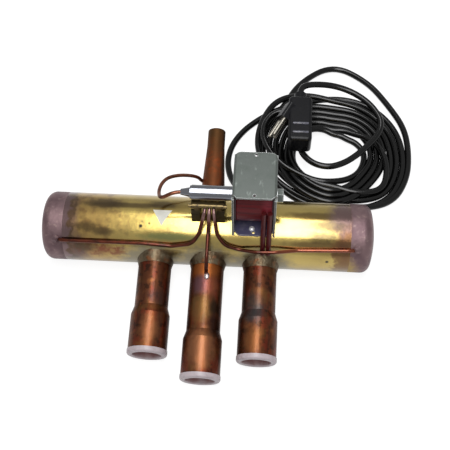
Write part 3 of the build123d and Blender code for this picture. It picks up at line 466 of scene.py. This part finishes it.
# Supply capillary: one thin copper tube from the pilot's turned end to the discharge tube, bent in
# an open hoop and brazed at both ends. Rubbed brighter than the other three.
capillary_thickness = 3.2 * mm
supply_places = [
    (-17.0, 23.4, 86.6), (-22.5, 23.2, 86.6), (-29.0, 21.5, 86.2), (-37.0, 19.0, 82.0),
    (-40.5, 26.0, 76.5), (-40.5, 37.0, 72.0), (-36.5, 47.0, 68.0), (-28.0, 53.5, 63.0),
    (-18.0, 60.0, 53.0), (-11.5, 64.5, 43.0), (-9.5, 66.0, 35.5), (-4.8, 65.1, 31.6),
]


def bent_round(name, places, thickness, steps, roundness):
    """A round tube or cord of that thickness, bent smoothly along places in millimetres.

    Steps is the number of short straights between two points, roundness that of its section.
    """
    curve = bpy.data.curves.new(name, "CURVE")
    curve.dimensions = "3D"
    line = curve.splines.new("NURBS")
    line.points.add(len(places) - 1)
    for point, place in zip(line.points, places):
        point.co = (*[value * mm for value in place], 1)
    line.order_u = 3
    line.use_endpoint_u = True
    line.resolution_u = steps
    curve.bevel_depth = thickness / 2
    curve.bevel_resolution = roundness
    piece = bpy.data.objects.new(name, curve)
    bpy.context.scene.collection.objects.link(piece)
    return piece


supply_capillary = bent_round(
    "supply_capillary", supply_places, capillary_thickness, steps=10, roundness=4)
rubbed_bright, rubbed_dark = (128, 78, 56), (84, 44, 30)
rubbed_copper = Finish("rubbed_copper", rubbed_bright, metallic=0.95, roughness=0.3, coat=0.2)
rubbed_copper.tint(rubbed_copper.patches(8, 0.45, 0.68), rubbed_dark, 0.8)
rubbed_copper.bump(rubbed_copper.noise(1.5), 0.03)
rubbed_copper.on(supply_capillary)
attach(supply_capillary, "valve_body")
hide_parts("discharge_capillary")

# Coil yoke and base plate: a zinc-plated strap folded round the coil, and a plate let in below it,
# all held on the pilot tube by one hexagon screw. Their sheared edges carry a painted highlight.
zinc_grey, zinc_spangle, zinc_scratch = (112, 118, 114), (106, 113, 108), (170, 178, 173)
plate_blue, plate_haze = (96, 94, 124), (128, 126, 146)
strap_painted_highlight, plate_painted_highlight = (238, 240, 240), (225, 225, 232)


def sharp_edges(finish, width):
    """Mask of the piece's sharp edges, so many millimetres wide."""
    level_face, sharp_edge = 0.995, 0.9
    rounded = finish.node("Bevel", {"Radius": width * mm})
    plain = finish.tree.nodes.new("ShaderNodeNewGeometry")
    alike = finish.tree.nodes.new("ShaderNodeVectorMath")
    alike.operation = "DOT_PRODUCT"
    finish.tree.links.new(rounded.outputs["Normal"], alike.inputs[0])
    finish.tree.links.new(plain.outputs["Normal"], alike.inputs[1])
    return finish.step(alike.outputs["Value"], level_face, sharp_edge)


zinc_steel = Finish("zinc_steel", zinc_grey, metallic=0.9, roughness=0.4)
zinc_steel.tint(zinc_steel.patches(9, 0.45, 0.7), zinc_spangle, 0.8)
zinc_steel.tint(zinc_steel.patches(3, 0.6, 0.75, stretch=(1, 4, 1)), zinc_scratch, 0.6)
# Painted highlight: the strap's sharp edges are painted near white.
zinc_steel.tint(sharp_edges(zinc_steel, 0.8), strap_painted_highlight, 0.9)
zinc_steel.vary_roughness(zinc_steel.noise(2), 0.28, 0.5)
zinc_steel.bump(zinc_steel.noise(1.2, stretch=(4, 1, 1)), 0.03)
zinc_steel.on("coil_yoke", "coil_screw", "screw_washer")

base_zinc = Finish("base_zinc", plate_blue, metallic=0.3, roughness=0.3)
base_zinc.tint(base_zinc.patches(6, 0.5, 0.7), plate_haze, 0.6)
# Painted highlight: the plate's sharp edges are painted pale.
base_zinc.tint(sharp_edges(base_zinc, 0.7), plate_painted_highlight, 0.9)
base_zinc.bump(base_zinc.noise(5), 0.1)
base_zinc.on("yoke_base_plate")

# Base rivet: a flat-topped round head of zinc-plated steel, set square on the leaning plate below
# the coil, which it fastens to the strap.
rivet_radius = 2.5 * mm
rivet_flatness = 0.6
rivet_place = (39.2, 3.4, 64.2)
plate_lean = math.radians(6.84)
rivet_white, rivet_grey = (240, 240, 244), (170, 170, 176)
rivet_zinc = Finish("rivet_zinc", rivet_white, metallic=0.4, roughness=0.25)
rivet_zinc.tint(rivet_zinc.patches(1.5, 0.5, 0.7), rivet_grey, 0.6)
rivet_zinc.bump(rivet_zinc.noise(1), 0.05)
start_piece(
    bpy.ops.mesh.primitive_uv_sphere_add, segments=32, ring_count=16, radius=rivet_radius)
bpy.ops.mesh.bisect(plane_co=(0, 0, 0), plane_no=(0, 0, 1), clear_inner=True, use_fill=True)
bpy.ops.mesh.select_all(action="SELECT")
stretch(1, 1, rivet_flatness)
bpy.ops.transform.rotate(value=-plate_lean, orient_axis="X", center_override=(0, 0, 0))
place_at(*rivet_place)
end_piece("base_rivet", rivet_zinc)

# Coil: copper wire wound on a plastic bobbin and wrapped in glossy dark red tape, with two leads in
# red sleeving that come out at the front. The yoke holds it on the pilot tube.
tape_red, tape_paler_end, tape_lap, tape_pale_line = (92, 8, 16), (132, 44, 54), (68, 8, 16), (206, 176, 176)
coil_tape = Finish("coil_tape", tape_red, roughness=0.36)
coil_tape.shader.inputs["Specular IOR Level"].default_value = 0.3
# Lighter towards the coil's right end.
coil_tape.tint(coil_tape.past("X", 44, 52), tape_paler_end, 0.85)
coil_tape.tint(coil_tape.patches(2.4, 0.5, 0.62, stretch=(12, 1, 1)), tape_lap, 0.8)
# A pale pinkish line along the winding's lower edge.
coil_tape.tint(coil_tape.past("Z", 67.4, 66.4), tape_pale_line, 0.9)
coil_tape.bump(coil_tape.noise(2.4, stretch=(14, 1, 1)), 0.35)
coil_tape.on("coil_winding")

sleeve_red, sleeve_fold = (78, 16, 18), (58, 14, 20)
lead_sleeve = Finish("lead_sleeve", sleeve_red, roughness=0.4)
lead_sleeve.shader.inputs["Specular IOR Level"].default_value = 0.35
lead_sleeve.tint(lead_sleeve.patches(3, 0.5, 0.7, stretch=(1, 1, 3)), sleeve_fold, 0.8)
lead_sleeve.bump(lead_sleeve.noise(0.9), 0.08)
lead_sleeve.on("coil_leads")

bobbin_plastic = Finish("bobbin_plastic", (58, 34, 38), roughness=0.45)
bobbin_plastic.bump(bobbin_plastic.noise(1), 0.04)
bobbin_plastic.on("coil_bobbin")

# Sticker: a three-sided label of white film, stuck on the front of the body by hand and left bare.
# A little grubby, with a soft shine.
film_white, film_grubby = (216, 214, 204), (205, 202, 190)
label_film = Finish("label_film", film_white, roughness=0.42)
label_film.tint(label_film.patches(3, 0.5, 0.7), film_grubby, 0.7)
label_film.on("triangle_label")

# Dust plugs: soft polythene cups, moulded, and pushed into the three sockets until the valve is
# fitted. Cloudy white; the hollow is painted pink brown, for its shade and the copper seen through
# it.
cloudy_white, cloudy_grey, hollow_painted_shade = (186, 174, 178), (160, 146, 150), (134, 88, 84)
socket_mouths = [(-43.7, -91.5, 19.3), (2, -110.5, 17.4), (47.7, -93, 19.1)]
hollow_reach = (13, 60, 13)
plug_plastic = Finish("plug_plastic", cloudy_white, roughness=0.38)
plug_plastic.shader.inputs["Subsurface Weight"].default_value = 0.2
plug_plastic.shader.inputs["Subsurface Radius"].default_value = (0.004, 0.003, 0.003)
# Painted shade: each socket's hollow is painted pink brown, with the copper's colour showing
# through.
for socket_mouth in socket_mouths:
    hollow = plug_plastic.spot(socket_mouth, hollow_reach, ragged=0.04, fade=(1.0, 0.9))
    plug_plastic.tint(hollow, hollow_painted_shade, 0.9)
plug_plastic.tint(plug_plastic.patches(7, 0.5, 0.75), cloudy_grey, 0.7)
plug_plastic.bump(plug_plastic.noise(4), 0.12)
plug_plastic.on("left_dust_plug", "middle_dust_plug", "right_dust_plug")

# Supply cord: a round black cord, rubber sheathed, 6 mm thick. It leaves the coil by a short
# sleeve, lies on the table in loose turns behind the valve and is moulded into the plug's collar.
cord_thickness = 6.0 * mm
cord_lead = [
    (40.0, 48.9, 73.3), (39.0, 55.5, 57.8), (37.5, 57.6, 38.5), (31.5, 65.1, 21.0),
    (22.0, 76.5, 8.5), (14.5, 91.5, 3.8), (11.5, 109.0, 3.2), (15.0, 127.0, 3.2),
    (25.0, 144.0, 3.2), (40.0, 158.5, 3.2), (58.0, 171.0, 3.2), (82.0, 181.0, 3.2),
]
# Each turn of the loose coil, at every eighth of it, clockwise from the back: how far it stands
# from the coil's middle, and how high it lies. At 3.2 it lies on the table, at 8.8 on a strand.
coil_middle = (113, 125)
coil_turns = [
    ((61, 64, 66, 73, 64, 66, 68, 68), (3.2, 3.2, 3.2, 3.2, 3.2, 3.2, 3.2, 4.5)),
    ((103, 77, 71.5, 77, 58, 62, 73, 77), (3.2, 3.2, 3.2, 3.2, 3.2, 3.2, 6.0, 8.8)),
    ((56, 57, 60, 67, 52, 55, 62, 62), (6.0, 3.2, 3.2, 3.2, 3.2, 3.2, 3.2, 3.2)),
    ((49, 51, 54, 62, 46, 49, 56, 55), (3.2, 3.2, 3.2, 3.2, 3.2, 3.2, 3.2, 3.2)),
    ((42, 45, 48, 50, 61, 57, 50, 48), (3.2, 3.2, 3.2, 6.0, 8.8, 8.8, 3.2, 3.2)),
    ((36, 39, 42, 44, 55, 51, 44, 41), (3.2, 3.2, 3.2, 6.0, 8.8, 8.8, 3.2, 3.2)),
    ((29, 32, 36, 38, 49, 45, 38, 34), (3.2, 3.2, 3.2, 6.0, 8.8, 8.8, 3.2, 3.2)),
    ((23, 27, 45, 64, 43, 44, 41, 29), (3.2, 4.5, 8.8, 8.8, 8.8, 8.8, 8.8, 8.8)),
    ((17, 18, 29, 34, 38, 45, 66), (5.5, 4.5, 3.2, 3.2, 8.8, 9.5, 14.5)),
]
coil_places = [place for turn in coil_turns for place in zip(*turn)]
curl = 1.02  # a smooth line cuts the corners between its points, so they stand a little out


def on_coil(step):
    """Point of the coil after so many sixteenths of a turn."""
    before, after = coil_places[step // 2], coil_places[(step + 1) // 2]
    reach, height = [(one + other) / 2 for one, other in zip(before, after)]
    turn = math.tau * step / 16
    middle_x, middle_y = coil_middle
    out_x, out_y = curl * reach * math.sin(turn), curl * reach * math.cos(turn)
    return (middle_x + out_x, middle_y + out_y, height)


cord_coil = [on_coil(step) for step in range(2 * len(coil_places) - 1)]
cord_return = [
    (44.5, 143.5, 15.8), (55.0, 158.0, 17.5), (70.0, 158.5, 18.5), (80.5, 146.0, 19.0),
    (80.0, 129.0, 19.0), (80.5, 112.0, 19.0), (91.5, 99.5, 19.0), (107.0, 95.5, 19.0),
    (121.0, 100.5, 19.0), (133.0, 109.5, 19.0), (144.5, 121.5, 19.4), (155.0, 134.5, 20.4),
]
cord_tail = [
    (158.0, 147.5, 22.5), (150.5, 161.5, 24.4), (139.5, 172.0, 26.0), (126.0, 179.5, 27.5),
    (111.0, 183.0, 29.5), (96.0, 182.5, 31.5), (84.0, 180.0, 32.6), (79.0, 174.5, 33.0),
    (79.0, 167.6, 33.0),
]
cord_places = cord_lead + cord_coil + cord_return + cord_tail
supply_cord = bent_round("supply_cord", cord_places, cord_thickness, steps=8, roundness=5)
rubber_black, rubber_dusty = (7, 7, 7), (16, 15, 14)
cord_rubber = Finish("cord_rubber", rubber_black, roughness=0.2)
cord_rubber.shader.inputs["Specular IOR Level"].default_value = 0.35
cord_rubber.tint(cord_rubber.patches(9, 0.55, 0.8), rubber_dusty, 0.6)
cord_rubber.vary_roughness(cord_rubber.noise(6), 0.1, 0.24)
cord_rubber.bump(cord_rubber.noise(4), 0.03)
cord_rubber.on(supply_cord, "cord_sleeve")
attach(supply_cord, "valve_body")
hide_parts("cord_lead", "cord_coil", "cord_tail")

# Plug: one black PVC moulding, cast round the cord's end and the pins, with two glossy grip ribs
# across its top that belong to the same moulding; they are painted lighter grey as a highlight.
moulding_black, moulding_dusty, moulding_edge = (9, 9, 13), (22, 21, 24), (44, 44, 50)
plug_moulding = Finish("plug_moulding", moulding_black, roughness=0.34)
plug_moulding.shader.inputs["Specular IOR Level"].default_value = 0.25
plug_moulding.tint(plug_moulding.patches(7, 0.5, 0.75), moulding_dusty, 0.6)
plug_moulding.tint(sharp_edges(plug_moulding, 0.6), moulding_edge, 0.7)
plug_moulding.bump(plug_moulding.noise(0.8), 0.03)
plug_moulding.on("plug_body")

rib_highlight_grey, rib_dull = (96, 96, 106), (60, 60, 68)
# Painted highlight: the ribs are painted grey, lighter than the black moulding they belong to.
rib_painted_highlight = Finish("rib_painted_highlight", rib_highlight_grey, roughness=0.16)
rib_painted_highlight.tint(rib_painted_highlight.patches(3, 0.45, 0.7), rib_dull, 0.7)
rib_painted_highlight.bump(rib_painted_highlight.noise(1), 0.02)
rib_size = (15.0, 2.4, 2.6)
rib_rounding = 0.9 * mm
rib_x, rib_z = 79.5, 43.1
for rib, rib_y in (("back", 127.4), ("front", 117.6)):
    start_piece(bpy.ops.mesh.primitive_cube_add, size=mm)
    stretch(*rib_size)
    bpy.ops.mesh.bevel(offset=rib_rounding, segments=4, affect="EDGES")
    place_at(rib_x, rib_y, rib_z)
    end_piece(f"plug_{rib}_rib", rib_painted_highlight)

# Plug pins: three round pins of turned brass, nickel plated and a little tarnished. The plug's
# moulding holds them fast.
nickel, nickel_tarnish = (150, 146, 136), (96, 84, 76)
pin_metal = Finish("pin_metal", nickel, metallic=1.0, roughness=0.34)
pin_metal.tint(pin_metal.patches(4, 0.5, 0.7), nickel_tarnish, 0.6)
pin_metal.on("plug_pins")
